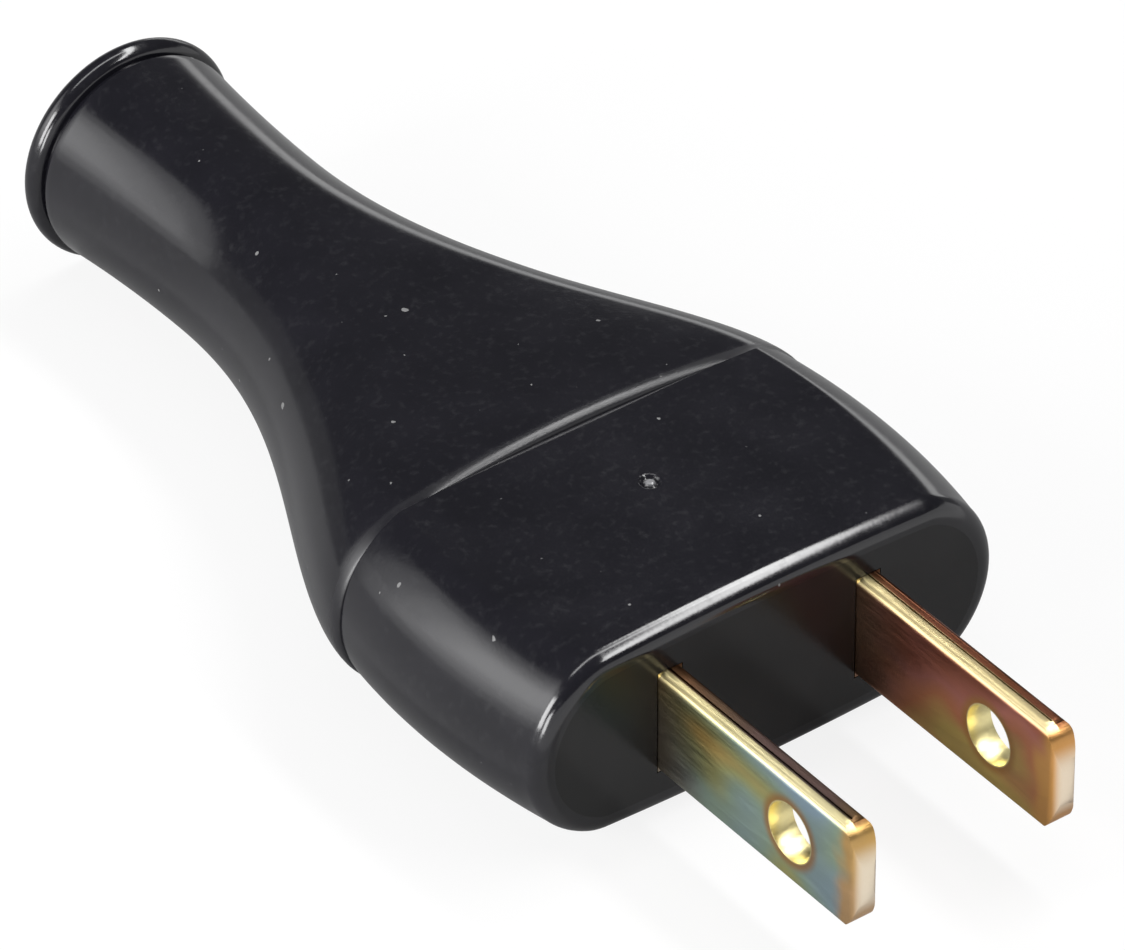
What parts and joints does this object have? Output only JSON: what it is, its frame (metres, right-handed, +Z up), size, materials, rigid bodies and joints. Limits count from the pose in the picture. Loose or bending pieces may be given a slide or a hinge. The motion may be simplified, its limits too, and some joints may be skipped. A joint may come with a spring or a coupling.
{
  "type": "type a two-blade plug",
  "caption": "Rewireable black rubber mains plug with parallel flat blades, a stepped fan-shaped grip and a round beaded neck that takes the cord.",
  "frame": {"origin": "centre of the front face, midway between the blades, where the plug meets the socket", "axes": "+Y from the front face back along the body to the cord entry, +X across the blades, +Z up to the side with the moulding mark"},
  "size_m": [0.0316, 0.0738, 0.0132],
  "materials": {
    "body_rubber": "smooth moulded black rubber with a soft gloss",
    "base_plastic": "glossy black moulding",
    "blade_brass": "bright brass strip with a faint yellow and violet tarnish",
    "terminal_steel": "plated steel"
  },
  "bodies": {
    "root": {"rubber_body": "body_rubber", "contact_base": "base_plastic", "left_blade": "blade_brass", "right_blade": "blade_brass", "left_terminal_washer": "terminal_steel", "right_terminal_washer": "terminal_steel", "left_terminal_screw": "terminal_steel", "right_terminal_screw": "terminal_steel"}
  },
  "joints": []
}
